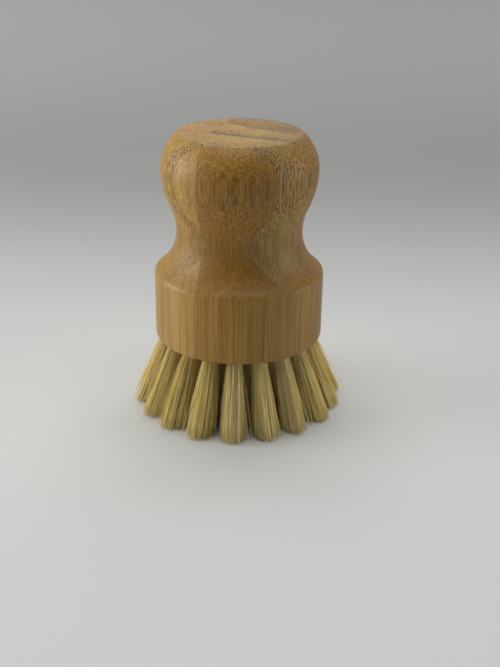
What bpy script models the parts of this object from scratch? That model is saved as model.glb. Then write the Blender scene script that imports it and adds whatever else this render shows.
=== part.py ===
# Dish brush: a palm brush turned from laminated bamboo, with fibre tufts anchored in its underside.
# Lengths are in metres and +Z is up. The origin is on the axis, level with the trimmed fibre ends,
# and -Y is the front.

import math
import random

import bmesh
import bpy
from mathutils import Matrix, Vector

MM = 0.001

# Handle, from its underside up
BASE_DIAMETER = 52.0 * MM
BASE_EDGE_RADIUS = 1.0 * MM
BAND_HEIGHT = 20.0 * MM  # straight side of the base, with its lower edge
LIP_RADIUS = 2.0 * MM  # round where the band turns in
FLARE_RADIUS = 14.8 * MM  # hollow between the lip and the waist
WAIST_DIAMETER = 38.3 * MM
HOLLOW_RADIUS = 17.7 * MM  # hollow between the waist and the knob
KNOB_RISE = 19.1 * MM  # from the waist up to the widest ring of the knob
KNOB_DIAMETER = 47.0 * MM
CROWN_HEIGHT = 10.5 * MM  # from the widest ring up to the flat top
CROWN_RADIUS = 13.4 * MM  # shoulder of the crown, from the widest ring to the edge of the top
TOP_EDGE_RADIUS = 1.2 * MM
TURN_STEPS = 60

# Holes for the tufts, drilled on lines that meet above the base
RIM_MARGIN = 5.0 * MM  # from the outer ring of holes to the edge of the base
HOLE_DIAMETER = 4.6 * MM
HOLE_DEPTH = 10.0 * MM
HOLE_SIDES = 8
FAN_HEIGHT = 58.0 * MM  # where the lines meet, above the underside
RINGS = ("inner", "middle", "outer")
TUFTS_PER_RING_STEP = 6  # the rings hold 6, 12 and 18 tufts
FIRST_TUFTS = [math.radians(turn) for turn in (20.0, 5.0, -2.85)]  # from the front towards +X

# Fibres
FIBRE_LENGTH = 23.0 * MM  # free height, from the underside to the trimmed ends
TUFT_ROOT_DIAMETER = 3.2 * MM  # over the strands, where they leave the fold
TUFT_TIP_DIAMETER = 8.4 * MM
STRAND_ROOT_WIDTH = 0.6 * MM
STRAND_TIP_WIDTH = 1.3 * MM
STRAND_SIDES = 3
STRANDS_PER_TUFT = 10
MOUTH_INSET = 1.0 * MM  # the folded bundle ends this far inside its hole
STRAND_OVERLAP = 2.5 * MM  # strands start this far above the underside, inside the bundle
BOW_SHARE = 0.56  # how far an outer strand has spread at half its height
TIP_WANDER = 0.06 * MM

# Flat wire anchors that hold each folded tuft in its hole
ANCHOR_THICKNESS = 0.5 * MM
ANCHOR_HEIGHT = 1.6 * MM
ANCHOR_BITE = 0.35 * MM  # how far each end reaches into the wood
ANCHOR_TURN = math.radians(45.0)  # from the ring's tangent, which keeps wood between the anchors
FOLD_HEIGHT = 1.4 * MM  # fibres that pass over the anchor
FOLD_STRAIGHT = 0.4 * MM  # they turn in this far above the anchor
FOLD_SHARE = 0.5  # width of the fold's crest, as a share of the bundle

CLEARANCE = 0.3 * MM

UNDERSIDE = FIBRE_LENGTH
GOLDEN_ANGLE = math.pi * (3.0 - math.sqrt(5.0))


def clear_scene():
    for thing in list(bpy.data.objects):
        bpy.data.objects.remove(thing, do_unlink=True)


def new_collection(name):
    collection = bpy.data.collections.new(name)
    bpy.context.scene.collection.children.link(collection)
    return collection


def plain_material(name, colour, roughness, metallic=0.0):
    material = bpy.data.materials.new(name)
    material.use_nodes = True
    shader = material.node_tree.nodes["Principled BSDF"]
    shader.inputs["Base Color"].default_value = (*colour, 1.0)
    shader.inputs["Roughness"].default_value = roughness
    shader.inputs["Metallic"].default_value = metallic
    material.diffuse_color = (*colour, 1.0)
    return material


def object_from_bmesh(shape, name, collection, materials):
    bmesh.ops.recalc_face_normals(shape, faces=shape.faces)
    mesh = bpy.data.meshes.new(name)
    shape.to_mesh(mesh)
    shape.free()
    for material in materials:
        mesh.materials.append(material)
    thing = bpy.data.objects.new(name, mesh)
    collection.objects.link(thing)
    return thing


def as_cutter(thing):
    thing.hide_render = True
    thing.display_type = "WIRE"


def add_boolean(target, cutter, operation):
    step = target.modifiers.new(cutter.name, "BOOLEAN")
    step.operation = operation
    step.solver = "EXACT"
    step.object = cutter


# Turned outline

def arc_points(centre, radii, start, end, steps):
    """Points (radius, height) on an arc without its first point. Two negative radii turn it inward."""
    points = []
    for i in range(1, steps + 1):
        turn = start + (end - start) * i / steps
        points.append((centre[0] + radii[0] * math.cos(turn), centre[1] + radii[1] * math.sin(turn)))
    return points


def handle_outline():
    """The outside from the edge of the flat top down to the edge of the underside."""
    base = BASE_DIAMETER / 2
    waist = WAIST_DIAMETER / 2
    knob = KNOB_DIAMETER / 2
    band_top = UNDERSIDE + BAND_HEIGHT

    # The lip's centre and the flare's centre are as far apart as their radii together
    lip_centre = (base - LIP_RADIUS, band_top)
    across = waist + FLARE_RADIUS - lip_centre[0]
    waist_height = band_top + math.sqrt((FLARE_RADIUS + LIP_RADIUS) ** 2 - across**2)
    flare_turn = math.acos(across / (FLARE_RADIUS + LIP_RADIUS))
    flare_centre = (waist + FLARE_RADIUS, waist_height)

    # Two arcs meet on one tangent between the waist and the knob
    knob_height = waist_height + KNOB_RISE
    swell_turn = 2 * math.atan2(knob - waist, KNOB_RISE)
    swell_radius = KNOB_RISE / math.sin(swell_turn) - HOLLOW_RADIUS
    hollow_centre = (waist + HOLLOW_RADIUS, waist_height)
    swell_centre = (knob - swell_radius, knob_height)

    # The top's edge is a small arc inside the shoulder's, and the flat starts above its centre
    shoulder_centre = (knob - CROWN_RADIUS, knob_height)
    reach = CROWN_RADIUS - TOP_EDGE_RADIUS
    rise = CROWN_HEIGHT - TOP_EDGE_RADIUS
    edge_turn = math.asin(rise / reach)
    flat = shoulder_centre[0] + reach * math.cos(edge_turn)
    top_centre = (flat, knob_height + rise)
    edge_centre = (base - BASE_EDGE_RADIUS, UNDERSIDE + BASE_EDGE_RADIUS)

    outline = [(flat, knob_height + CROWN_HEIGHT)]
    outline += arc_points(top_centre, (TOP_EDGE_RADIUS, TOP_EDGE_RADIUS), math.pi / 2, edge_turn, 2)
    outline += arc_points(shoulder_centre, (CROWN_RADIUS, CROWN_RADIUS), edge_turn, 0, 6)
    outline += arc_points(swell_centre, (swell_radius, swell_radius), 0, -swell_turn, 4)
    outline += arc_points(hollow_centre, (-HOLLOW_RADIUS, HOLLOW_RADIUS), swell_turn, 0, 4)
    outline += arc_points(flare_centre, (-FLARE_RADIUS, -FLARE_RADIUS), 0, flare_turn, 6)
    outline += arc_points(lip_centre, (LIP_RADIUS, LIP_RADIUS), flare_turn, 0, 4)
    outline.append((base, UNDERSIDE + BASE_EDGE_RADIUS))
    outline += arc_points(edge_centre, (BASE_EDGE_RADIUS, BASE_EDGE_RADIUS), 0, -math.pi / 2, 3)
    return outline


def turned_body(collection, material):
    outline = handle_outline()
    profile_mesh = bpy.data.meshes.new("handle_profile")
    points = [(radius, 0.0, height) for radius, height in outline]
    profile_mesh.from_pydata(points, [(i, i + 1) for i in range(len(points) - 1)], [])
    profile = bpy.data.objects.new("handle_profile", profile_mesh)
    collection.objects.link(profile)
    turn = profile.modifiers.new("turn", "SCREW")
    turn.axis = "Z"
    turn.angle = 2 * math.pi
    turn.steps = TURN_STEPS
    turn.render_steps = TURN_STEPS
    turn.use_merge_vertices = True
    turn.merge_threshold = 0.01 * MM

    shape = bmesh.new()
    turned = profile.evaluated_get(bpy.context.evaluated_depsgraph_get())
    turned_mesh = bpy.data.meshes.new_from_object(turned)
    shape.from_mesh(turned_mesh)
    bmesh.ops.holes_fill(shape, edges=[edge for edge in shape.edges if edge.is_boundary], sides=0)
    bpy.data.meshes.remove(turned_mesh)
    bpy.data.objects.remove(profile, do_unlink=True)
    return object_from_bmesh(shape, "handle", collection, [material])


# Tuft places

def ring_radius(ring):
    """Rings lie evenly between the axis and the outer ring."""
    outer = BASE_DIAMETER / 2 - RIM_MARGIN
    return outer * (ring + 1) / len(RINGS)


def tuft_places():
    """Names of all tufts, with their ring's radius, their turn from the front towards +X and a seed.

    Tufts that face each other across the axis share a seed, so the brush stands square on its centre.
    """
    places = [("tuft_centre", 0.0, 0.0, 0)]
    for ring, ring_name in enumerate(RINGS):
        count = TUFTS_PER_RING_STEP * (ring + 1)
        for i in range(count):
            turn = FIRST_TUFTS[ring] + 2 * math.pi * i / count
            seed = (ring + 1) * 100 + i % (count // 2)
            places.append((f"tuft_{ring_name}_{i + 1:02d}", ring_radius(ring), turn, seed))
    return places


def fan_point(radius, turn, height):
    """Where the line of a tuft with this ring radius passes a height."""
    meet = UNDERSIDE + FAN_HEIGHT
    reach = radius * (meet - height) / FAN_HEIGHT
    return Vector((reach * math.sin(turn), -reach * math.cos(turn), height))


def tuft_frame(radius, turn):
    """Origin at the mouth of the hole, Z into the wood, X along the anchor."""
    mouth = fan_point(radius, turn, UNDERSIDE)
    inward = (Vector((0.0, 0.0, UNDERSIDE + FAN_HEIGHT)) - mouth).normalized()
    tangent = Vector((math.cos(turn), math.sin(turn), 0.0))
    along = Matrix.Rotation(ANCHOR_TURN, 3, inward) @ tangent
    rotation = Matrix((along, inward.cross(along), inward)).transposed()
    return Matrix.Translation(mouth) @ rotation.to_4x4()


def add_prism(shape, frame, diameter, bottom, top):
    """A closed prism round a frame's Z axis, with a side square to the anchor."""
    middle = Matrix.Translation((0.0, 0.0, (bottom + top) / 2))
    half_side = Matrix.Rotation(math.pi / HOLE_SIDES, 4, "Z")
    return bmesh.ops.create_cone(
        shape,
        cap_ends=True,
        segments=HOLE_SIDES,
        radius1=diameter / 2,
        radius2=diameter / 2,
        depth=top - bottom,
        matrix=frame @ middle @ half_side,
    )["verts"]


def add_bar(shape, frame, length, thickness, bottom, top):
    """A closed bar along a frame's X axis."""
    middle = Matrix.Translation((0.0, 0.0, (bottom + top) / 2))
    size = Matrix.Diagonal((length, thickness, top - bottom, 1.0))
    return bmesh.ops.create_cube(shape, size=1.0, matrix=frame @ middle @ size)["verts"]


def anchor_levels():
    """Heights of the anchor's two edges above the mouth of the hole."""
    top = HOLE_DEPTH - CLEARANCE - FOLD_HEIGHT
    return top - ANCHOR_HEIGHT, top


def drill_handle(handle, places, cutters):
    """Blind holes for the tufts, and the slots that the anchors bite into."""
    drills = bmesh.new()
    slots = bmesh.new()
    anchor_bottom, anchor_top = anchor_levels()
    slot_length = HOLE_DIAMETER + 2 * (ANCHOR_BITE + CLEARANCE)
    slot_width = ANCHOR_THICKNESS + 2 * CLEARANCE
    for _, radius, turn, _ in places:
        frame = tuft_frame(radius, turn)
        add_prism(drills, frame, HOLE_DIAMETER, -HOLE_DIAMETER, HOLE_DEPTH)
        add_bar(slots, frame, slot_length, slot_width, anchor_bottom - CLEARANCE, anchor_top + CLEARANCE)
    for name, shape in (("hole_drills", drills), ("anchor_slots", slots)):
        cutter = object_from_bmesh(shape, name, cutters, [])
        as_cutter(cutter)
        add_boolean(handle, cutter, "DIFFERENCE")


# Tufts

def add_strand(shape, centres, widths, turn):
    """One strand, as a stack of level sections from its root down to its flat end."""
    start = Matrix.Translation(centres[0]) @ Matrix.Rotation(turn, 4, "Z")
    ring = bmesh.ops.create_circle(
        shape, cap_ends=True, segments=STRAND_SIDES, radius=widths[0] / 2, matrix=start
    )["verts"]
    face = ring[0].link_faces[0]
    for i in range(1, len(centres)):
        grown = bmesh.ops.extrude_face_region(shape, geom=[face])["geom"]
        if i > 1:
            shape.faces.remove(face)
        ring = [part for part in grown if isinstance(part, bmesh.types.BMVert)]
        face = next(part for part in grown if isinstance(part, bmesh.types.BMFace))
        growth = widths[i] / widths[i - 1]
        for corner in ring:
            corner.co = centres[i] + (corner.co - centres[i - 1]) * growth


def strand_centres(radius, turn, spot, wander, bowed):
    """The middle line of a strand, which keeps its place in the tuft and so crosses no other."""
    root = UNDERSIDE + STRAND_OVERLAP
    root_reach = (TUFT_ROOT_DIAMETER - STRAND_ROOT_WIDTH) / 2
    tip_reach = (TUFT_TIP_DIAMETER - STRAND_TIP_WIDTH) / 2
    levels = [(root, 0.0), (0.0, 1.0)]
    if bowed:
        levels.insert(1, (root / 2, BOW_SHARE))
    centres = []
    for height, spread in levels:
        reach = root_reach + (tip_reach - root_reach) * spread
        centres.append(fan_point(radius, turn, height) + spot * reach + wander * spread)
    return centres


def folded_bundle(name, frame, collection, materials):
    """The root of a tuft: fibres folded over their anchor, with the crest of the fold along it."""
    shape = bmesh.new()
    top = HOLE_DEPTH - CLEARANCE
    shoulder = top - FOLD_HEIGHT + FOLD_STRAIGHT
    add_prism(shape, Matrix.Identity(4), HOLE_DIAMETER - 2 * CLEARANCE, MOUTH_INSET, top)
    geometry = shape.verts[:] + shape.edges[:] + shape.faces[:]
    bmesh.ops.bisect_plane(shape, geom=geometry, plane_co=(0.0, 0.0, shoulder), plane_no=(0.0, 0.0, 1.0))
    for corner in shape.verts:
        if corner.co.z > (shoulder + top) / 2:
            corner.co.y *= FOLD_SHARE
    bundle = object_from_bmesh(shape, name, collection, materials)
    bundle.matrix_world = frame
    return bundle


def level_vector(length, turn):
    return Vector((length * math.cos(turn), length * math.sin(turn), 0.0))


def make_tuft(place, collection, cutters, materials):
    """A folded bundle joined with its strands and its anchor."""
    name, radius, turn, seed = place
    draw = random.Random(seed)
    frame = tuft_frame(radius, turn)
    bundle = folded_bundle(name, frame, collection, materials)
    bowed = name.startswith("tuft_outer")

    shape = bmesh.new()
    tuft_turn = turn + draw.uniform(0, 2 * math.pi)
    widths = [STRAND_ROOT_WIDTH, STRAND_TIP_WIDTH]
    if bowed:
        widths.insert(1, (STRAND_ROOT_WIDTH + STRAND_TIP_WIDTH) / 2)
    for i in range(STRANDS_PER_TUFT):
        # Strands fill the tuft evenly, each a golden angle on from the last
        spot = level_vector(math.sqrt((i + 0.5) / STRANDS_PER_TUFT), tuft_turn + i * GOLDEN_ANGLE)
        wander = level_vector(TIP_WANDER, turn + draw.uniform(0, 2 * math.pi))
        add_strand(shape, strand_centres(radius, turn, spot, wander, bowed), widths, tuft_turn)
    shape.transform(frame.inverted())

    anchor_bottom, anchor_top = anchor_levels()
    length = HOLE_DIAMETER + 2 * ANCHOR_BITE
    bar = add_bar(shape, Matrix.Identity(4), length, ANCHOR_THICKNESS, anchor_bottom, anchor_top)
    for face in {face for corner in bar for face in corner.link_faces}:
        face.material_index = 1
    extras = object_from_bmesh(shape, f"{name}_strands", cutters, materials)
    extras.matrix_world = frame
    as_cutter(extras)
    add_boolean(bundle, extras, "UNION")
    return bundle


def build():
    clear_scene()
    brush = new_collection("dish_brush")
    cutters = new_collection("cutters")
    bamboo = plain_material("bamboo", (0.42, 0.25, 0.10), 0.55)
    fibre = plain_material("plant_fibre", (0.55, 0.45, 0.20), 0.75)
    steel = plain_material("anchor_wire", (0.60, 0.60, 0.58), 0.35, 1.0)

    handle = turned_body(brush, bamboo)
    places = tuft_places()
    drill_handle(handle, places, cutters)
    handle.data.shade_smooth()
    handle.data.set_sharp_from_angle(angle=math.radians(35.0))
    for place in places:
        tuft = make_tuft(place, brush, cutters, [fibre, steel])
        tuft.parent = handle


build()
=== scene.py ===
import math
import random

import bmesh
import bpy
from mathutils import Matrix, Vector


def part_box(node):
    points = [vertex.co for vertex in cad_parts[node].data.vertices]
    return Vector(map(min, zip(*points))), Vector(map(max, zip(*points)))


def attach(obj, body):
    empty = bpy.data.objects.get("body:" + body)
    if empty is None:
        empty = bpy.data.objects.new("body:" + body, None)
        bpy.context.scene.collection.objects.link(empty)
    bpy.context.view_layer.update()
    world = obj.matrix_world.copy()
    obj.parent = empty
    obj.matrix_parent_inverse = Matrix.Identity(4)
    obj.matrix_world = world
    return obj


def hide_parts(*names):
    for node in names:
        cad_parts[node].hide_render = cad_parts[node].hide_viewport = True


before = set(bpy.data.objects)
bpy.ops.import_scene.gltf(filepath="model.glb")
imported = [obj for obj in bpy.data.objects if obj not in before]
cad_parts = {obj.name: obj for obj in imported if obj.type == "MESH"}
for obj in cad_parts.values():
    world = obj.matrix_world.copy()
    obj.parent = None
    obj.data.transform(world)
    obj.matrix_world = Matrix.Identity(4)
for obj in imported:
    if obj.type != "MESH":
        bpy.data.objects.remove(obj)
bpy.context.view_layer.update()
mm = 0.001
handleLow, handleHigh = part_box("handle")
underside = handleLow.z
goldenAngle = math.pi * (3 - math.sqrt(5))
print("frame loaded:", len(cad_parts), "nodes")


# Small helpers for objects and meshes

def addObject(name, data):
    thing = bpy.data.objects.new(name, data)
    bpy.context.scene.collection.objects.link(thing)
    return thing


def addPiece(name, mesh, material, replaced=()):
    mesh.materials.append(material)
    piece = addObject(name, mesh)
    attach(piece, "root")
    if replaced:
        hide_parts(*replaced)


def meshFromShape(shape, name, closed=True):
    # A closed shape gets its faces turned outwards
    if closed:
        bmesh.ops.recalc_face_normals(shape, faces=shape.faces)
    mesh = bpy.data.meshes.new(name)
    shape.to_mesh(mesh)
    shape.free()
    return mesh


def shadeSmooth(mesh, sharpAngle):
    mesh.shade_smooth()
    mesh.set_sharp_from_angle(angle=math.radians(sharpAngle))


def arcPoints(centre, radius, start, end, steps):
    # (radius, height) along an arc, without its first point; a negative radius turns it inward
    turns = [start + (end - start) * i / steps for i in range(1, steps + 1)]
    return [(centre[0] + radius * math.cos(t), centre[1] + abs(radius) * math.sin(t)) for t in turns]


# Small helpers for shader nodes

def feed(tree, socket, value):
    if isinstance(value, bpy.types.NodeSocket):
        tree.links.new(value, socket)
    elif value is not None:
        socket.default_value = value


def mathNode(tree, operation, first, second=None, third=None):
    node = tree.nodes.new("ShaderNodeMath")
    node.operation = operation
    for socket, value in zip(node.inputs, (first, second, third)):
        feed(tree, socket, value)
    return node.outputs[0]


def multiply(tree, first, *others):
    for other in others:
        first = mathNode(tree, "MULTIPLY", first, other)
    return first


def vectorNode(tree, operation, first, second):
    node = tree.nodes.new("ShaderNodeVectorMath")
    node.operation = operation
    feed(tree, node.inputs[0], first)
    feed(tree, node.inputs[1], second)
    return node.outputs["Value" if operation == "DOT_PRODUCT" else "Vector"]


def rangeNode(tree, value, low, high, lowOut=0.0, highOut=1.0):
    # A smooth step from lowOut to highOut, as the value goes from low to high
    node = tree.nodes.new("ShaderNodeMapRange")
    node.interpolation_type = "SMOOTHSTEP"
    labels = ("Value", "From Min", "From Max", "To Min", "To Max")
    for label, setting in zip(labels, (value, low, high, lowOut, highOut)):
        feed(tree, node.inputs[label], setting)
    return node.outputs["Result"]


def mixColour(tree, share, first, second, blend="MIX"):
    node = tree.nodes.new("ShaderNodeMix")
    node.data_type = "RGBA"
    node.blend_type = blend
    feed(tree, node.inputs["Factor"], share)
    feed(tree, node.inputs[6], first)
    feed(tree, node.inputs[7], second)
    return node.outputs[2]


def noiseNode(tree, vector, stretch, detail, output="Fac"):
    node = tree.nodes.new("ShaderNodeTexNoise")
    feed(tree, node.inputs["Vector"], vectorNode(tree, "MULTIPLY", vector, stretch))
    node.inputs["Scale"].default_value = 1.0
    node.inputs["Detail"].default_value = detail
    return node.outputs[output]


def combine(tree, x, y, z):
    node = tree.nodes.new("ShaderNodeCombineXYZ")
    for socket, value in zip(node.inputs, (x, y, z)):
        feed(tree, socket, value)
    return node.outputs[0]


def separate(tree, colour):
    node = tree.nodes.new("ShaderNodeSeparateColor")
    feed(tree, node.inputs[0], colour)
    return node.outputs


def rampNode(tree, share, stops, interpolation="LINEAR"):
    node = tree.nodes.new("ShaderNodeValToRGB")
    ramp = node.color_ramp
    ramp.interpolation = interpolation
    for i, (position, colour) in enumerate(stops):
        mark = ramp.elements[i] if i < 2 else ramp.elements.new(position)
        mark.position = position
        mark.color = colour
    feed(tree, node.inputs[0], share)
    return node.outputs[0]


def newGroup(name, inputs, outputs):
    group = bpy.data.node_groups.new(name, "ShaderNodeTree")
    for label, kind in inputs:
        group.interface.new_socket(label, in_out="INPUT", socket_type="NodeSocket" + kind)
    for label, kind in outputs:
        group.interface.new_socket(label, in_out="OUTPUT", socket_type="NodeSocket" + kind)
    return group, group.nodes.new("NodeGroupInput").outputs, group.nodes.new("NodeGroupOutput").inputs


def useGroup(tree, group, values):
    node = tree.nodes.new("ShaderNodeGroup")
    node.node_tree = group
    for label, value in values.items():
        feed(tree, node.inputs[label], value)
    return node.outputs


def newMaterial(name, settings):
    material = bpy.data.materials.new(name)
    material.use_nodes = True
    tree = material.node_tree
    shader = tree.nodes["Principled BSDF"]
    for label, value in settings.items():
        shader.inputs[label].default_value = value
    return material, tree, shader


def addBump(tree, shader, height, distance, strength):
    bump = tree.nodes.new("ShaderNodeBump")
    bump.inputs["Strength"].default_value = strength
    bump.inputs["Distance"].default_value = distance
    tree.links.new(height, bump.inputs["Height"])
    tree.links.new(bump.outputs["Normal"], shader.inputs["Normal"])


def millimetres(tree):
    place = tree.nodes.new("ShaderNodeTexCoord")
    return vectorNode(tree, "MULTIPLY", place.outputs["Object"], (1000, 1000, 1000))


# Bamboo: strips of cane glued face to face and side by side, then turned, sanded and oiled

bamboo = {
    # The blank, in millimetres, as all lengths of this material
    "blankTurn": 16.5,  # degrees from the front to the square face of the blank, towards -X
    "columnWidth": 24.0,
    "columnStart": -6.0,
    "shiftBehind": 1.8,  # boards behind the first glued face stand this much further to the left
    "shiftFrom": 8.0,
    "plyThickness": 12.2,
    # A glued face of each column: how far in front of the axis, its slope, and how the plies fan out
    "gluedFaces": ((6.4, 0.0, 0.0), (5.8, -0.236, 0.019), (17.6, 0.60, 0.0)),
    "firstPly": -4,
    "frontPly": 1.0,  # the front strip of the middle column starts here, counted in plies
    "topHeight": 85.5,  # the flat top lies above this
    "stripShift": 613.0,  # over the row of all strips, so that no two share a pattern

    # Tints of whole strips, and how bright each column is
    "tints": {
        "straw": (0.440, 0.262, 0.056, 1),
        "tan": (0.410, 0.235, 0.048, 1),
        "pink": (0.430, 0.230, 0.058, 1),
        "brown": (0.435, 0.230, 0.034, 1),
        "dusk": (0.330, 0.185, 0.045, 1),
    },
    "columnTones": (1.05, 0.98, 0.92),

    # Factors on the colour
    "pale": (1.32, 1.40, 1.55, 1),  # tissue between the bundles
    "streak": (0.72, 0.66, 0.55, 1),
    "deep": (0.80, 0.73, 0.60, 1),  # the front strip of the middle column, from the waist up
    "bleached": (0.98, 1.00, 1.12, 1),  # the base, which is handled less and stays fresher
    "shaded": (0.91, 0.90, 0.88, 1),  # painted shade on the flare
    "endGrainSheen": (0.93, 0.97, 1.22, 1),  # the cut ends of the cane, on faces that look up: partly their own tone, partly a painted sheen of light from above

    # Colours that cover the rest
    "bundle": (0.072, 0.029, 0.004, 1),
    "skin": (0.205, 0.105, 0.024, 1),
    "glue": (0.120, 0.060, 0.015, 1),

    # Smooth steps: from, to, and the values there where they aren't 0 and 1
    "paintedSideShade": (5.0, 13.0, 1.0, 0.80),  # painted shade across the blank, darker towards the right
    "deepened": (40.0, 52.0),  # heights, as the next four
    "deepFade": (77.0, 82.0, 1.0, 0.50),
    "bleachedTo": (46.0, 38.0),
    "shadedFrom": (42.0, 47.0),
    "shadedTo": (62.0, 54.0),
    "skinDepth": (0.5, 0.98),  # share of the way through a ply
    "skinShare": 0.7,
    "facingUp": (0.6, 0.98),  # upward part of the normal

    # Bundles
    "spacings": (0.56, 0.60, 0.68),  # in each column
    "widths": (0.2, 0.8, 0.70, 1.00),  # a share of the spacing, widest at the front of a ply
    "crowding": (0.55, 0.8),  # share of the way through a ply
    "calm": (40.0, 78.0, 0.42, 1.0),  # they show least on the base
    "patchiness": (0.3, 0.7, 0.8, 1.0),
    "scatter": 0.85,
    "sizes": (0.8, 1.25),  # of single bundles, as a share of the width
    "core": 0.45,  # fully dark share of a bundle's reach
    "darkness": (0.65, 1.0),
    "deepBundles": 0.45,  # on the flat top, those behind the first glued face are longer through the ply

    # Noise: changes per millimetre along each axis, and detail
    "grainDrift": 0.25,  # how far the grain wanders to each side
    "drift": ((0.05, 0.05, 0.03), 1.5),
    "patterns": {
        "patches": ((0.3, 0.3, 0.02), 2.0),
        "clouds": ((0.16, 0.16, 0.03), 3.0),
        "hair": ((2.4, 2.4, 0.06), 2.0),
        "bands": ((0.75, 0.75, 0.02), 2.0),
        "flecks": ((2.0, 1.2, 0.5), 2.0),
    },
    # Layers of the ground tissue: pattern, from, to, the shares there, the factor, and what weakens it
    "layers": (
        ("clouds", 0.45, 0.75, 0.0, 0.40, "streak", None),
        ("bands", 0.35, 0.65, 0.35, 0.85, "pale", "strength"),
        ("bands", 0.48, 0.62, 0.0, 0.60, "streak", None),
        ("bands", 0.50, 0.36, 0.0, 0.30, "pale", None),
        ("hair", 0.45, 0.70, 0.0, 0.80, "streak", "calm"),
        ("flecks", 0.50, 0.65, 0.0, 0.45, "streak", "calm"),
        ("flecks", 0.50, 0.35, 0.0, 0.45, "pale", "calm"),
    ),

    # Glue lines
    "plyLine": 0.22,
    "columnLine": 0.20,
    "lineShare": 0.25,
    "mainSeam": (-0.18, -0.05, 0.0, 0.9),  # in plies, behind the glued face of the middle column

    # Surface
    "refraction": 1.46,
    "roughness": (0.3, 0.7, 0.46, 0.54),
    "bundleRoughness": 0.12,
    "bundleRelief": -0.6,
    "glueRelief": -0.6,
    "hairRelief": -0.5,
    "reliefDepth": 0.03,
    "reliefStrength": 0.7,
}
# Each column's plies from the back to the front: tint, bundles at the back and at the front face, dark skin
strips = (
    (("tan", 0.2, 0.8, 0.2), ("straw", 0.2, 0.6, 0.1), ("tan", 0.1, 0.7, 0.2),
     ("pink", 0.4, 0.8, 0.1), ("tan", 0.10, 1.0, 0.1), ("straw", 0.40, 0.6, 0.0)),
    (("tan", 0.3, 0.9, 0.2), ("pink", 0.1, 0.7, 0.1), ("dusk", 0.15, 0.5, 0.1),
     ("straw", 0.80, 1.0, 0.5), ("straw", 0.45, 1.0, 0.1), ("brown", 0.75, 0.8, 0.1)),
    (("pink", 0.2, 0.8, 0.2), ("tan", 0.1, 0.6, 0.1), ("brown", 0.1, 0.7, 0.2),
     ("pink", 0.10, 0.7, 0.3), ("brown", 0.90, 1.0, 0.1), ("brown", 0.90, 1.0, 0.2)),
)


def makeFibreBundles():
    # Bundles in the cane: dots in the end grain, and streaks where the cut runs along them
    inputs = [("Plan", "Vector"), ("Spacing", "Float"), ("Width", "Float")]
    group, given, result = newGroup("fibreBundles", inputs, [("Mask", "Float")])
    grid = combine(group, given["Spacing"], given["Spacing"], 1.0)
    cells = group.nodes.new("ShaderNodeTexVoronoi")
    cells.voronoi_dimensions = "2D"
    cells.inputs["Scale"].default_value = 1.0
    cells.inputs["Randomness"].default_value = bamboo["scatter"]
    group.links.new(vectorNode(group, "DIVIDE", given["Plan"], grid), cells.inputs["Vector"])
    chance = separate(group, cells.outputs["Color"])
    half = multiply(group, given["Width"], 0.5)
    reach = multiply(group, half, rangeNode(group, chance[0], 0, 1, *bamboo["sizes"]))
    inside = rangeNode(group, cells.outputs["Distance"], reach, multiply(group, reach, bamboo["core"]))
    darkness = rangeNode(group, chance[1], 0, 1, *bamboo["darkness"])
    group.links.new(multiply(group, inside, darkness), result["Mask"])
    return group


def makeGlueLine():
    # A thin line wherever the steps pass a whole number
    inputs = [("Steps", "Float"), ("Step Size", "Float"), ("Width", "Float")]
    group, given, result = newGroup("glueLine", inputs, [("Mask", "Float")])
    share = mathNode(group, "FRACT", given["Steps"])
    nearest = mathNode(group, "MINIMUM", share, mathNode(group, "SUBTRACT", 1.0, share))
    away = multiply(group, nearest, given["Step Size"])
    group.links.new(rangeNode(group, away, 0, given["Width"], 1, 0), result["Mask"])
    return group


def byColumn(tree, inColumn, values):
    # The value of the column that a point is in
    picked = 0.0
    for share, value in zip(inColumn, values):
        picked = mathNode(tree, "MULTIPLY_ADD", share, value, picked)
    return picked


def byStrip(tree, strip, values):
    # The value of the strip that a point is in
    stops = [(i / len(values), value) for i, value in enumerate(values)]
    return rampNode(tree, strip, stops, "CONSTANT")


def findStrip(tree, place):
    # Which column, ply and strip of the blank a point is in, and how deep in the ply
    turn = math.radians(bamboo["blankTurn"])
    across = vectorNode(tree, "DOT_PRODUCT", place, (math.cos(turn), -math.sin(turn), 0))
    front = vectorNode(tree, "DOT_PRODUCT", place, (-math.sin(turn), -math.cos(turn), 0))

    behind = mathNode(tree, "LESS_THAN", front, bamboo["shiftFrom"])
    shifted = mathNode(tree, "MULTIPLY_ADD", behind, bamboo["shiftBehind"], across)
    fromFirst = mathNode(tree, "SUBTRACT", shifted, bamboo["columnStart"])
    columns = mathNode(tree, "DIVIDE", fromFirst, bamboo["columnWidth"])
    column = mathNode(tree, "FLOOR", columns)
    tolerance = 0.1
    inColumn = [mathNode(tree, "COMPARE", column, number, tolerance) for number in (-1.0, 0.0, 1.0)]

    glued, slope, fan = [byColumn(tree, inColumn, values) for values in zip(*bamboo["gluedFaces"])]
    level = multiply(tree, front, mathNode(tree, "MULTIPLY_ADD", fan, across, 1.0))
    level = mathNode(tree, "SUBTRACT", mathNode(tree, "MULTIPLY_ADD", slope, across, level), glued)
    plies = mathNode(tree, "DIVIDE", level, bamboo["plyThickness"])

    # The middle of this strip's share of a row of all strips, from 0 to 1
    inEach = len(strips[0])
    strip = mathNode(tree, "MULTIPLY_ADD", column, inEach, mathNode(tree, "FLOOR", plies))
    strip = mathNode(tree, "ADD", strip, inEach - bamboo["firstPly"] + 0.5)
    strip = mathNode(tree, "DIVIDE", strip, inEach * len(strips))
    return {
        "across": across,
        "height": vectorNode(tree, "DOT_PRODUCT", place, (0, 0, 1)),
        "columns": columns,
        "inColumn": inColumn,
        "level": level,
        "plies": plies,
        "depth": mathNode(tree, "FRACT", plies),
        "strip": strip,
    }


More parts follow.
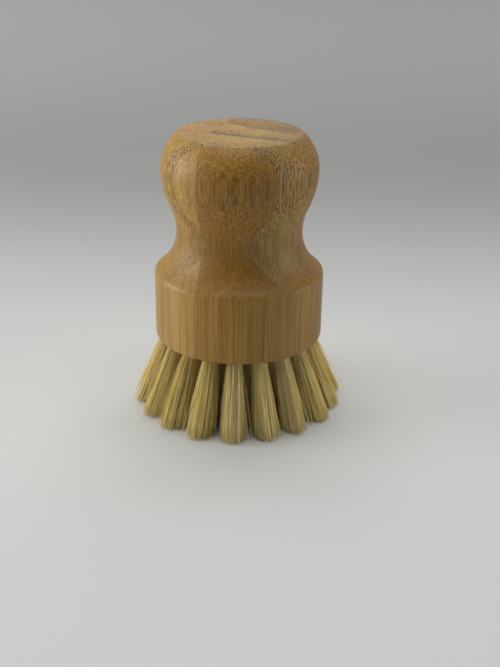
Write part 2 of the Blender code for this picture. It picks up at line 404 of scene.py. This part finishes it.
def grainPlan(tree, place, where):
    # The grain stands square to the strips, and wanders a little as it rises
    drift = noiseNode(tree, place, *bamboo["drift"], "Color")
    centred = vectorNode(tree, "SUBTRACT", drift, (0.5, 0.5, 0.5))
    reach = bamboo["grainDrift"] * 2
    wander = vectorNode(tree, "MULTIPLY", centred, (reach, reach, 0))
    shift = mathNode(tree, "MULTIPLY_ADD", where["strip"], bamboo["stripShift"], where["across"])
    behindGlue = mathNode(tree, "LESS_THAN", where["level"], 0.0)
    onTop = mathNode(tree, "GREATER_THAN", where["height"], bamboo["topHeight"])
    deepOnTop = multiply(tree, behindGlue, onTop)
    stretch = mathNode(tree, "MULTIPLY_ADD", deepOnTop, bamboo["deepBundles"] - 1, 1.0)
    through = multiply(tree, where["level"], stretch)
    return vectorNode(tree, "ADD", combine(tree, shift, through, where["height"]), wander)


def makeBambooMaterial():
    material, tree, shader = newMaterial("oiled_bamboo", {"IOR": bamboo["refraction"]})
    place = millimetres(tree)
    where = findStrip(tree, place)
    height = where["height"]
    depth = where["depth"]
    plies = where["plies"]
    inColumn = where["inColumn"]
    plan = grainPlan(tree, place, where)
    patterns = {name: noiseNode(tree, plan, *noise) for name, noise in bamboo["patterns"].items()}

    # Every strip looks up its own tint and strengths
    entries = [entry for column in strips for entry in column]
    tint = byStrip(tree, where["strip"], [bamboo["tints"][entry[0]] for entry in entries])
    strengths = byStrip(tree, where["strip"], [(*entry[1:], 1) for entry in entries])
    atBack, atFront, skin = separate(tree, strengths)[:3]
    columnTone = byColumn(tree, inColumn, bamboo["columnTones"])
    # Painted shade: the blank darkens towards the right
    tone = multiply(tree, columnTone, rangeNode(tree, where["across"], *bamboo["paintedSideShade"]))
    wood = mixColour(tree, 1.0, tint, tone, "MULTIPLY")

    # Bundles crowd towards the skin side of each ply, and show most on the knob
    crowd = rangeNode(tree, depth, *bamboo["crowding"])
    calm = rangeNode(tree, height, *bamboo["calm"])
    strength = mathNode(tree, "MULTIPLY_ADD", mathNode(tree, "SUBTRACT", atFront, atBack), crowd, atBack)
    strength = multiply(tree, strength, calm)
    mask = useGroup(tree, makeFibreBundles(), {
        "Plan": plan,
        "Spacing": byColumn(tree, inColumn, bamboo["spacings"]),
        "Width": rangeNode(tree, depth, *bamboo["widths"]),
    })["Mask"]
    patchy = rangeNode(tree, patterns["patches"], *bamboo["patchiness"])
    mask = multiply(tree, mask, strength, patchy)

    # Ground tissue: cloudy tone, pale and brown lines along the cane, and fine flecks
    weights = {"strength": strength, "calm": calm}
    for pattern, low, high, lowShare, highShare, factor, weight in bamboo["layers"]:
        share = rangeNode(tree, patterns[pattern], low, high, lowShare, highShare)
        if weight:
            share = multiply(tree, share, weights[weight])
        wood = mixColour(tree, share, wood, bamboo[factor], "MULTIPLY")

    # The front strip, the base, painted shade on the flare, and the darker skin of each ply
    frontStrip = multiply(tree, inColumn[1], mathNode(tree, "GREATER_THAN", plies, bamboo["frontPly"]))
    deep = multiply(tree, rangeNode(tree, height, *bamboo["deepened"]), frontStrip,
                    rangeNode(tree, height, *bamboo["deepFade"]))
    onBase = rangeNode(tree, height, *bamboo["bleachedTo"])
    # Painted shade: the flare is darkened
    paintedFlareShade = multiply(tree, rangeNode(tree, height, *bamboo["shadedFrom"]),
                       rangeNode(tree, height, *bamboo["shadedTo"]))
    for share, factor in ((deep, "deep"), (onBase, "bleached"), (paintedFlareShade, "shaded")):
        wood = mixColour(tree, share, wood, bamboo[factor], "MULTIPLY")
    skinShare = multiply(tree, skin, rangeNode(tree, depth, *bamboo["skinDepth"]), bamboo["skinShare"])
    wood = mixColour(tree, skinShare, wood, bamboo["skin"])
    wood = mixColour(tree, mask, wood, bamboo["bundle"])

    # Glue lines, darkest along the glued face that shows on the top
    glueLine = makeGlueLine()
    plyLine = useGroup(tree, glueLine, {
        "Steps": plies,
        "Step Size": bamboo["plyThickness"],
        "Width": bamboo["plyLine"],
    })["Mask"]
    columnLine = useGroup(tree, glueLine, {
        "Steps": where["columns"],
        "Step Size": bamboo["columnWidth"],
        "Width": bamboo["columnLine"],
    })["Mask"]
    glue = mathNode(tree, "MAXIMUM", plyLine, columnLine)
    mainSeam = multiply(tree, rangeNode(tree, plies, *bamboo["mainSeam"]),
                        mathNode(tree, "LESS_THAN", plies, 0.0), inColumn[1])
    dark = mathNode(tree, "MAXIMUM", mainSeam, multiply(tree, glue, bamboo["lineShare"]))
    wood = mixColour(tree, dark, wood, bamboo["glue"])

    # Faces that look up, the cut ends of the cane, turn cooler and greyer: partly their own tone, partly a
    # painted sheen of light from above
    normal = tree.nodes.new("ShaderNodeNewGeometry").outputs["Normal"]
    upright = mathNode(tree, "ABSOLUTE", vectorNode(tree, "DOT_PRODUCT", normal, (0, 0, 1)))
    facingUp = rangeNode(tree, upright, *bamboo["facingUp"])
    wood = mixColour(tree, facingUp, wood, bamboo["endGrainSheen"], "MULTIPLY")
    tree.links.new(wood, shader.inputs["Base Color"])

    # Bundles are rougher than the tissue, and lie a little lower, as the glue and the fine lines do
    rough = rangeNode(tree, patterns["clouds"], *bamboo["roughness"])
    rough = mathNode(tree, "MULTIPLY_ADD", mask, bamboo["bundleRoughness"], rough)
    tree.links.new(rough, shader.inputs["Roughness"])
    relief = multiply(tree, glue, bamboo["glueRelief"])
    relief = mathNode(tree, "MULTIPLY_ADD", mask, bamboo["bundleRelief"], relief)
    relief = mathNode(tree, "MULTIPLY_ADD", patterns["hair"], bamboo["hairRelief"], relief)
    addBump(tree, shader, relief, bamboo["reliefDepth"] * mm, bamboo["reliefStrength"])
    return material


# Anchors: flat wire across each fold

anchor = {
    "top": 8.3 * mm,  # above the mouth of the hole
    "length": 5.3 * mm,
    "thickness": 0.5 * mm,
    "height": 1.6 * mm,
    "edge": 0.12 * mm,
    "edgeSegments": 2,
    "sharpAngle": 40,
    "slotGap": 0.05 * mm,
    "bright": (0.50, 0.49, 0.46, 1),
    "dull": (0.30, 0.29, 0.27, 1),
    "spots": ((1.6, 1.6, 1.6), 3.0),  # changes per millimetre, and detail
    "dullSpots": (0.4, 0.65),
    "roughness": (0.3, 0.7, 0.28, 0.5),
}


def wireMatrix(place, gap=0.0):
    # Turns a cube of one metre into the wire in a hole, with a gap on all sides
    middle = Matrix.Translation((0, 0, anchor["top"] - anchor["height"] / 2))
    size = [anchor[side] + 2 * gap for side in ("length", "thickness", "height")]
    return place["frame"] @ middle @ Matrix.Diagonal((*size, 1))


def makeWireMaterial():
    material, tree, shader = newMaterial("anchor_wire", {"Metallic": 1.0})
    spots = noiseNode(tree, millimetres(tree), *anchor["spots"])
    stained = mixColour(tree, rangeNode(tree, spots, *anchor["dullSpots"]), anchor["bright"], anchor["dull"])
    tree.links.new(stained, shader.inputs["Base Color"])
    tree.links.new(rangeNode(tree, spots, *anchor["roughness"]), shader.inputs["Roughness"])
    return material


def makeAnchors(ringName, places, material):
    name = "anchors_" + ringName
    shape = bmesh.new()
    for place in places:
        bmesh.ops.create_cube(shape, size=1, matrix=wireMatrix(place))
    bmesh.ops.bevel(shape, geom=shape.edges[:], offset=anchor["edge"], segments=anchor["edgeSegments"],
                    affect="EDGES")
    mesh = meshFromShape(shape, name)
    shadeSmooth(mesh, anchor["sharpAngle"])
    addPiece(name, mesh, material)


# Handle: one turned block with slanted blind holes in its underside

handle = {
    "bandHeight": 20.0 * mm,
    "lipRadius": 2.0 * mm,
    "flareRadius": 14.8 * mm,
    "waistDiameter": 38.3 * mm,
    "hollowRadius": 17.7 * mm,
    "knobRise": 19.1 * mm,
    "knobDiameter": 47.0 * mm,
    "crownHeight": 10.5 * mm,
    "crownRadius": 13.4 * mm,
    "topEdgeRadius": 1.2 * mm,
    "edgeRadius": 1.0 * mm,
    "arcSteps": {"topEdge": 8, "crown": 24, "swell": 12, "hollow": 14, "flare": 18, "lip": 10, "edge": 8},
    "turnSteps": 192,
    "weld": 0.001 * mm,
    "sharpAngle": 35,
    "holeDiameter": 4.6 * mm,
    "holeDepth": 10.0 * mm,
    "holeSides": 28,
    "mouthChamfer": 0.2 * mm,
}


def handleOutline():
    # From the edge of the flat top down to the edge of the underside
    base = handleHigh.x
    waist = handle["waistDiameter"] / 2
    knob = handle["knobDiameter"] / 2
    lip = handle["lipRadius"]
    flare = handle["flareRadius"]
    hollow = handle["hollowRadius"]
    crown = handle["crownRadius"]
    topEdge = handle["topEdgeRadius"]
    edge = handle["edgeRadius"]

    bandTop = underside + handle["bandHeight"]
    acrossFlare = waist + flare - (base - lip)
    waistHeight = bandTop + math.sqrt((flare + lip) ** 2 - acrossFlare**2)
    flareTurn = math.acos(acrossFlare / (flare + lip))
    knobHeight = waistHeight + handle["knobRise"]
    swellTurn = 2 * math.atan2(knob - waist, handle["knobRise"])
    swell = handle["knobRise"] / math.sin(swellTurn) - hollow
    edgeTurn = math.asin((handle["crownHeight"] - topEdge) / (crown - topEdge))
    flat = knob - crown + (crown - topEdge) * math.cos(edgeTurn)
    topHeight = knobHeight + handle["crownHeight"]

    steps = handle["arcSteps"]
    outline = [(flat, topHeight)]
    outline += arcPoints((flat, topHeight - topEdge), topEdge, math.pi / 2, edgeTurn, steps["topEdge"])
    outline += arcPoints((knob - crown, knobHeight), crown, edgeTurn, 0, steps["crown"])
    outline += arcPoints((knob - swell, knobHeight), swell, 0, -swellTurn, steps["swell"])
    outline += arcPoints((waist + hollow, waistHeight), -hollow, swellTurn, 0, steps["hollow"])
    outline += arcPoints((waist + flare, waistHeight), -flare, 0, -flareTurn, steps["flare"])
    outline += arcPoints((base - lip, bandTop), lip, flareTurn, 0, steps["lip"])
    outline.append((base, underside + edge))
    outline += arcPoints((base - edge, underside + edge), edge, 0, -math.pi / 2, steps["edge"])
    return outline


def drillShape(places):
    # Drills that start outside the wood, cones that widen each mouth by one chamfer, and the wires' slots
    drills = bmesh.new()
    radius = handle["holeDiameter"] / 2
    chamfer = handle["mouthChamfer"]
    drill = (radius, radius, -radius * 2, handle["holeDepth"])
    cone = (radius + 3 * chamfer, radius - chamfer, -2 * chamfer, 2 * chamfer)
    for place in places:
        for wide, narrow, low, high in (drill, cone):
            middle = Matrix.Translation((0, 0, (low + high) / 2))
            bmesh.ops.create_cone(drills, cap_ends=True, segments=handle["holeSides"], radius1=wide,
                                  radius2=narrow, depth=high - low, matrix=place["frame"] @ middle)
        bmesh.ops.create_cube(drills, size=1, matrix=wireMatrix(place, anchor["slotGap"]))
    return drills


def makeHandle(places, material):
    name = "turned_handle"
    shape = bmesh.new()
    corners = [shape.verts.new((radius, 0, height)) for radius, height in handleOutline()]
    profile = [shape.edges.new(pair) for pair in zip(corners, corners[1:])]
    bmesh.ops.spin(shape, geom=corners + profile, axis=(0, 0, 1), cent=(0, 0, 0), angle=2 * math.pi,
                   steps=handle["turnSteps"], use_merge=True)
    bmesh.ops.remove_doubles(shape, verts=shape.verts, dist=handle["weld"])
    bmesh.ops.holes_fill(shape, edges=[edge for edge in shape.edges if edge.is_boundary], sides=0)
    blank = addObject("blank", meshFromShape(shape, "blank"))
    cutter = addObject("drills", meshFromShape(drillShape(places), "drills"))
    cut = blank.modifiers.new("holes", "BOOLEAN")
    cut.operation = "DIFFERENCE"
    cut.solver = "EXACT"
    cut.use_self = True
    cut.object = cutter
    bpy.context.view_layer.update()
    mesh = bpy.data.meshes.new_from_object(blank.evaluated_get(bpy.context.evaluated_depsgraph_get()))
    for spare in (blank, cutter):
        bpy.data.objects.remove(spare)
    mesh.name = name
    mesh.materials.clear()  # the cut may leave an empty slot
    shadeSmooth(mesh, handle["sharpAngle"])
    addPiece(name, mesh, material, ["handle"])


# Tufts: fibres folded over a flat wire anchor, on lines that meet above the base

tufts = {
    # Rings from the inside outwards: name, count, and the first tuft's turn in degrees
    "rings": (("inner", 6, 20.0), ("middle", 12, 5.0), ("outer", 18, -2.85)),
    "rimMargin": 5.0 * mm,
    "fanHeight": 58.0 * mm,  # where the lines meet, above the underside
    "anchorTurn": 45.0,
    "bundleRadius": 2.05 * mm,
    "tipRadius": 3.55 * mm,
    "shellBias": 0.47,  # under 0.5, fibres crowd to the outside of the tuft
    "spreadPower": 0.85,

    # Fibres
    "folded": 200,
    "fibreWidth": 0.17 * mm,
    "widthSpread": 0.02 * mm,
    "tipWidth": 0.8,  # as a share of the fibre's width
    "fibreSides": 4,
    "freeSteps": 6,
    "ragged": 0.70 * mm,
    "fibreWander": 0.42 * mm,
    "fibreBow": 0.6,  # as a share of the wander
    "strayShare": 0.20,
    "strayWander": 1.05 * mm,

    # Round the wire
    "foldSteps": 4,
    "foldHeight": 1.1 * mm,
    "leastRise": 0.35,  # of the inner folds, as a share of the fold's height
    "besideAnchor": 0.42 * mm,
    "leastSide": 0.11 * mm,  # from the middle of the tuft
    "jitter": 0.1,  # to each side, in millimetres
    "underTop": 0.2 * mm,  # legs lie beside the wire from this far under its top
    "underWire": 0.4 * mm,  # to this far under the whole wire
    "gathered": (3.5 * mm, 0.8 * mm),  # then close together at these depths

    # Locks, in which fibres cling together
    "locks": 9,
    "lockPull": 0.06,
    "lockWander": 0.22 * mm,
    "lockBow": 0.4,  # as a share of the wander
    "lockLift": 0.5,  # at most, as a share of the ragged length

    # Tone, from brown at 0 to cream at 1: the mean, and how much each of these differs
    "meanTone": 0.6,
    "tuftTone": 0.04,
    "lockTone": 0.06,
    "fibreTone": 0.035,
    "strayTone": 0.12,  # strays are bleached
}


def tuftPlaces():
    places = [tuftPlace("centre", 0.0, 0.0)]
    outer = handleHigh.x - tufts["rimMargin"]
    for ring, (ringName, count, first) in enumerate(tufts["rings"]):
        radius = outer * (ring + 1) / len(tufts["rings"])
        for i in range(count):
            turn = math.radians(first) + 2 * math.pi * i / count
            places.append(tuftPlace(f"{ringName}_{i + 1:02d}", radius, turn))
    return places


def tuftPlace(name, radius, turn):
    # A frame at the mouth of the hole: Z into the wood, X along the anchor
    mouth = Vector((radius * math.sin(turn), -radius * math.cos(turn), underside))
    inward = (Vector((0, 0, underside + tufts["fanHeight"])) - mouth).normalized()
    tangent = Vector((math.cos(turn), math.sin(turn), 0))
    along = Matrix.Rotation(math.radians(tufts["anchorTurn"]), 3, inward) @ tangent
    rotation = Matrix((along, inward.cross(along), inward)).transposed()
    return {"name": name, "frame": Matrix.Translation(mouth) @ rotation.to_4x4()}


def sweepFibre(vertices, faces, path, widths):
    # A closed tube along a path, on frames that turn no more than the path does
    sides = tufts["fibreSides"]
    first = len(vertices)
    side = (path[1] - path[0]).normalized().orthogonal()
    for k, point in enumerate(path):
        ahead = (path[min(k + 1, len(path) - 1)] - path[max(k - 1, 0)]).normalized()
        side = (side - ahead * side.dot(ahead)).normalized()
        other = ahead.cross(side)
        for s in range(sides):
            turn = 2 * math.pi * s / sides
            vertices.append(point + (side * math.cos(turn) + other * math.sin(turn)) * widths[k] / 2)
    for k in range(len(path) - 1):
        low = first + k * sides
        for s in range(sides):
            t = (s + 1) % sides
            faces.append((low + s, low + t, low + sides + t, low + sides + s))
    last = first + (len(path) - 1) * sides
    faces.append(tuple(range(first + sides - 1, first - 1, -1)))
    faces.append(tuple(range(last, last + sides)))


def scatter(draw, reach):
    # A random step across the tuft, at most twice the reach along either axis
    return Vector([min(max(draw.gauss(0, reach), -2 * reach), 2 * reach) for i in range(2)] + [0])


def legPoints(draw, frameMatrix, spot, lock, stray):
    # One leg, from the anchor down through the mouth to its trimmed end
    slant = frameMatrix.to_3x3()
    downward = -(slant @ Vector((0, 0, 1)))
    mouth = frameMatrix.translation
    grow = tufts["tipRadius"] / tufts["bundleRadius"]
    wander = scatter(draw, tufts["fibreWander"])
    if stray:
        wander += scatter(draw, tufts["strayWander"])
    bow = scatter(draw, tufts["fibreWander"] * tufts["fibreBow"]) + lock["bow"]
    tipSpot = spot * grow
    tipSpot += (lock["centre"] * grow - tipSpot) * tufts["lockPull"]
    tipSpot += lock["shift"] + wander
    tipHeight = draw.random() ** 2 * tufts["ragged"] + lock["lift"]

    clear = math.copysign(max(abs(spot.y), tufts["besideAnchor"]), spot.y)
    inHole = [(clear, anchor["top"] - tufts["underTop"]),
              (clear, anchor["top"] - anchor["height"] - tufts["underWire"])]
    inHole += [(spot.y, depth) for depth in tufts["gathered"]]
    path = [frameMatrix @ Vector((spot.x, y, depth)) for y, depth in inHole]
    tipOffset = slant @ tipSpot
    reach = (mouth.z + tipOffset.z - tipHeight - tufts["fibreWidth"] / 2) / -downward.z
    for k in range(1, tufts["freeSteps"] + 1):
        share = k / tufts["freeSteps"]
        offset = spot.lerp(tipSpot, share ** tufts["spreadPower"]) + bow * math.sin(math.pi * share)
        path.append(mouth + downward * reach * share + slant @ offset)
    return path


def foldPoints(frameMatrix, spot):
    # Over the top of the anchor, from the leg behind it to the leg in front
    half = max(spot.y, tufts["besideAnchor"])
    least = tufts["leastRise"]
    rise = tufts["foldHeight"] * (least + (1 - least) * spot.y / tufts["bundleRadius"])
    points = []
    for k in range(tufts["foldSteps"] + 1):
        turn = math.pi * k / tufts["foldSteps"]
        local = Vector((spot.x, -half * math.cos(turn), anchor["top"] + rise * math.sin(turn)))
        points.append(frameMatrix @ local)
    return points


def makeLocks(draw):
    # Fibres of a tuft cling together in a few locks, each with its own lean and tone
    startTurn = draw.uniform(0, 2 * math.pi)
    locks = []
    for i in range(tufts["locks"]):
        away = tufts["bundleRadius"] * math.sqrt((i + 0.5) / tufts["locks"])
        turn = startTurn + i * goldenAngle
        locks.append({
            "centre": Vector((away * math.cos(turn), away * math.sin(turn), 0)),
            "shift": scatter(draw, tufts["lockWander"]),
            "bow": scatter(draw, tufts["lockWander"] * tufts["lockBow"]),
            "lift": draw.random() * tufts["ragged"] * tufts["lockLift"],
            "tone": draw.gauss(0, tufts["lockTone"]),
        })
    return locks


def makeTuft(place, seed, material):
    draw = random.Random(seed)
    frameMatrix = place["frame"]
    jitter = tufts["jitter"]
    locks = makeLocks(draw)
    tuftTone = tufts["meanTone"] + draw.gauss(0, tufts["tuftTone"])
    vertices = []
    faces = []
    tones = []

    for i in range(tufts["folded"]):
        # Legs lie on the two sides of the anchor, mirrored across it
        away = tufts["bundleRadius"] * ((i + 0.5) / tufts["folded"]) ** tufts["shellBias"]
        angle = i * goldenAngle / 2 % math.pi
        spot = Vector((away * math.cos(angle), max(away * math.sin(angle), tufts["leastSide"]), 0))
        legs = []
        legTones = []
        fibreTone = draw.gauss(0, tufts["fibreTone"])
        for mirror in (1, -1):
            legSpot = Vector((spot.x, spot.y * mirror, 0))
            legSpot += Vector((draw.uniform(-jitter, jitter), draw.uniform(-jitter, jitter), 0)) * mm
            lock = min(locks, key=lambda near: (near["centre"] - legSpot).length)
            stray = draw.random() < tufts["strayShare"]
            legs.append(legPoints(draw, frameMatrix, legSpot, lock, stray))
            legTones.append(tuftTone + lock["tone"] + fibreTone + stray * tufts["strayTone"])
        fold = foldPoints(frameMatrix, spot)
        path = legs[1][::-1] + fold + legs[0]
        width = tufts["fibreWidth"] + draw.gauss(0, tufts["widthSpread"])
        widths = [width] * len(path)
        widths[0] = widths[-1] = width * tufts["tipWidth"]
        sweepFibre(vertices, faces, path, widths)
        for k in range(len(path)):
            share = min(max((k - len(legs[1])) / len(fold), 0), 1)
            tone = legTones[1] * (1 - share) + legTones[0] * share
            tones += [tone] * tufts["fibreSides"]

    name = "fibres_" + place["name"]
    mesh = bpy.data.meshes.new(name)
    mesh.from_pydata(vertices, [], faces)
    mesh.attributes.new("strandTone", "FLOAT", "POINT").data.foreach_set("value", tones)
    mesh.shade_smooth()
    addPiece(name, mesh, material, ["tuft_" + place["name"]])


# Fibre: pale golden strands, some browner and some bleached

fibre = {
    "tones": (  # place in the scale of tones, and colour
        (0.05, (0.650, 0.440, 0.145, 1)),
        (0.35, (0.870, 0.635, 0.205, 1)),
        (0.62, (0.920, 0.710, 0.275, 1)),
        (0.95, (0.950, 0.820, 0.500, 1)),
    ),
    "patches": ((2.0, 2.0, 0.2), 3.0),  # changes per millimetre, and detail
    "patchTone": 0.25,
    "refraction": 1.40,
    "roughness": (0.3, 0.7, 0.52, 0.68),
    "ridges": ((14, 14, 0.9), 2.0),
    "ridgeDepth": 0.02 * mm,
    "ridgeStrength": 0.5,
    "glow": 0.4,  # share of the light that goes through
    "glowReach": 0.4 * mm,
    "glowColour": (1.0, 0.8, 0.4),
    "fuzz": 0.2,
    "fuzzColour": (1.0, 0.84, 0.45, 1),
}


def makeFibreMaterial():
    # A little light passes through the fibres, and their fuzz catches more
    material, tree, shader = newMaterial("plant_fibre", {
        "IOR": fibre["refraction"],
        "Subsurface Weight": fibre["glow"],
        "Subsurface Scale": fibre["glowReach"],
        "Subsurface Radius": fibre["glowColour"],
        "Sheen Weight": fibre["fuzz"],
        "Sheen Tint": fibre["fuzzColour"],
    })
    tone = tree.nodes.new("ShaderNodeAttribute")
    tone.attribute_name = "strandTone"
    place = millimetres(tree)
    patches = noiseNode(tree, place, *fibre["patches"])
    uneven = mathNode(tree, "SUBTRACT", patches, 0.5)
    toned = mathNode(tree, "MULTIPLY_ADD", uneven, fibre["patchTone"], tone.outputs["Fac"])
    tree.links.new(rampNode(tree, toned, fibre["tones"]), shader.inputs["Base Color"])
    tree.links.new(rangeNode(tree, patches, *fibre["roughness"]), shader.inputs["Roughness"])
    ridges = noiseNode(tree, place, *fibre["ridges"])
    addBump(tree, shader, ridges, fibre["ridgeDepth"], fibre["ridgeStrength"])
    return material


# Floor that curves up into a backdrop, with painted shade behind the brush, darkest in the curve

studio = {
    "paper": (0.675, 0.681, 0.667, 1),
    "roughness": 0.85,
    "paintedShades": (  # painted shade: distance behind the brush in metres, and the share of the paper's brightness left there
        (0.00, 0.97),
        (0.07, 0.82),
        (0.135, 0.70),
        (0.175, 0.54),
        (0.20, 0.52),
        (0.223, 0.58),
        (0.250, 0.78),
    ),
    "frontEdge": -1.2,
    "curveStart": 0.12,
    "curveRadius": 0.14,
    "curveSteps": 24,
    "wallHeight": 0.25,
    "halfWidth": 2.2,
}


def makePaperMaterial():
    # Seen or lit from behind, the paper is clear, so it hides nothing in other views
    material, tree, shader = newMaterial("pale_paper", {"Roughness": studio["roughness"]})
    reach = studio["paintedShades"][-1][0]
    behind = vectorNode(tree, "DOT_PRODUCT", millimetres(tree), (0, mm, 0))
    stops = [(distance / reach, (share, share, share, 1)) for distance, share in studio["paintedShades"]]
    # Painted shade: the paper darkens behind the brush, most where it curves up
    paintedShade = rampNode(tree, mathNode(tree, "DIVIDE", behind, reach), stops, "B_SPLINE")
    tree.links.new(mixColour(tree, 1.0, studio["paper"], paintedShade, "MULTIPLY"), shader.inputs["Base Color"])
    clear = tree.nodes.new("ShaderNodeBsdfTransparent")
    choose = tree.nodes.new("ShaderNodeMixShader")
    tree.links.new(tree.nodes.new("ShaderNodeNewGeometry").outputs["Backfacing"], choose.inputs[0])
    tree.links.new(shader.outputs[0], choose.inputs[1])
    tree.links.new(clear.outputs[0], choose.inputs[2])
    tree.links.new(choose.outputs[0], tree.nodes["Material Output"].inputs["Surface"])
    return material


def makeFloor():
    start = studio["curveStart"]
    radius = studio["curveRadius"]
    outline = [(studio["frontEdge"], 0.0), (start, 0.0)]
    for k in range(1, studio["curveSteps"] + 1):
        turn = math.pi / 2 * k / studio["curveSteps"]
        outline.append((start + radius * math.sin(turn), radius * (1 - math.cos(turn))))
    outline.append((start + radius, studio["wallHeight"]))
    shape = bmesh.new()
    edges = (-studio["halfWidth"], studio["halfWidth"])
    left, right = [[shape.verts.new((x, y, z)) for y, z in outline] for x in edges]
    for k in range(len(outline) - 1):
        shape.faces.new((left[k], right[k], right[k + 1], left[k + 1]))
    mesh = meshFromShape(shape, "floor", closed=False)
    mesh.shade_smooth()
    mesh.materials.append(makePaperMaterial())
    floor = addObject("floor", mesh)


# Soft light from above and from both sides, stronger from the left

lamps = (
    # name, place, width, height, power in watts
    ("ceiling", (0.0, 0.10, 0.90), 0.8, 0.8, 5.0),
    ("above_backdrop", (0.0, 0.60, 0.80), 1.0, 0.6, 2.8),
    ("window_left", (-0.80, 0.0, 0.22), 0.6, 0.6, 5.3),
    ("window_right", (0.80, -0.10, 0.15), 0.6, 0.6, 2.6),
)
room = {
    "lampsAim": (0.0, 0.0, 0.04),
    "glow": (0.045, 0.045, 0.045, 1),  # lights the brush from all round
    "backdrop": (0.330, 0.332, 0.330, 1),  # seen by the camera and in reflections
}


def makeLamps():
    for name, place, width, height, power in lamps:
        data = bpy.data.lights.new(name, "AREA")
        data.shape = "RECTANGLE"
        data.size = width
        data.size_y = height
        data.energy = power
        lamp = addObject(name, data)
        lamp.location = place
        lamp.rotation_euler = (Vector(room["lampsAim"]) - Vector(place)).to_track_quat("-Z", "Y").to_euler()
        lamp.visible_camera = False


def makeRoom():
    world = bpy.data.worlds.new("room")
    bpy.context.scene.world = world
    world.use_nodes = True
    tree = world.node_tree
    path = tree.nodes.new("ShaderNodeLightPath").outputs
    seen = mathNode(tree, "MAXIMUM", path["Is Camera Ray"], path["Is Glossy Ray"])
    colour = mixColour(tree, seen, room["glow"], room["backdrop"])
    tree.links.new(colour, tree.nodes["Background"].inputs["Color"])


# Camera, fitted to the outline of the brush in the photograph

camera = {
    "place": (0.0, -0.2856, 0.1521),
    "lookDown": 24.57,
    "turnRight": 0.73,
    "roll": 0.78,
    "lens": 53.22,
    "sensorWidth": 36.0,
    "clipStart": 0.01,
}


def makeCamera():
    data = bpy.data.cameras.new("camera")
    data.lens = camera["lens"]
    data.sensor_width = camera["sensorWidth"]
    data.clip_start = camera["clipStart"]
    eye = addObject("camera", data)
    turn = Matrix.Rotation(math.radians(-camera["turnRight"]), 4, "Z")
    tip = Matrix.Rotation(math.radians(90 - camera["lookDown"]), 4, "X")
    roll = Matrix.Rotation(math.radians(camera["roll"]), 4, "Z")
    eye.matrix_world = Matrix.Translation(camera["place"]) @ turn @ tip @ roll
    bpy.context.scene.camera = eye
    bpy.context.scene.view_settings.view_transform = "Standard"


places = tuftPlaces()
makeHandle(places, makeBambooMaterial())
print("handle turned and drilled")

fibreMaterial = makeFibreMaterial()
for seed, place in enumerate(places):
    makeTuft(place, seed, fibreMaterial)
print("tufts set:", len(places))

wireMaterial = makeWireMaterial()
for ringName in ("centre", "inner", "middle", "outer"):
    makeAnchors(ringName, [place for place in places if place["name"].startswith(ringName)], wireMaterial)
print("anchors set")

makeFloor()
makeLamps()
makeRoom()
makeCamera()
print("floor, lamps, room and camera placed")
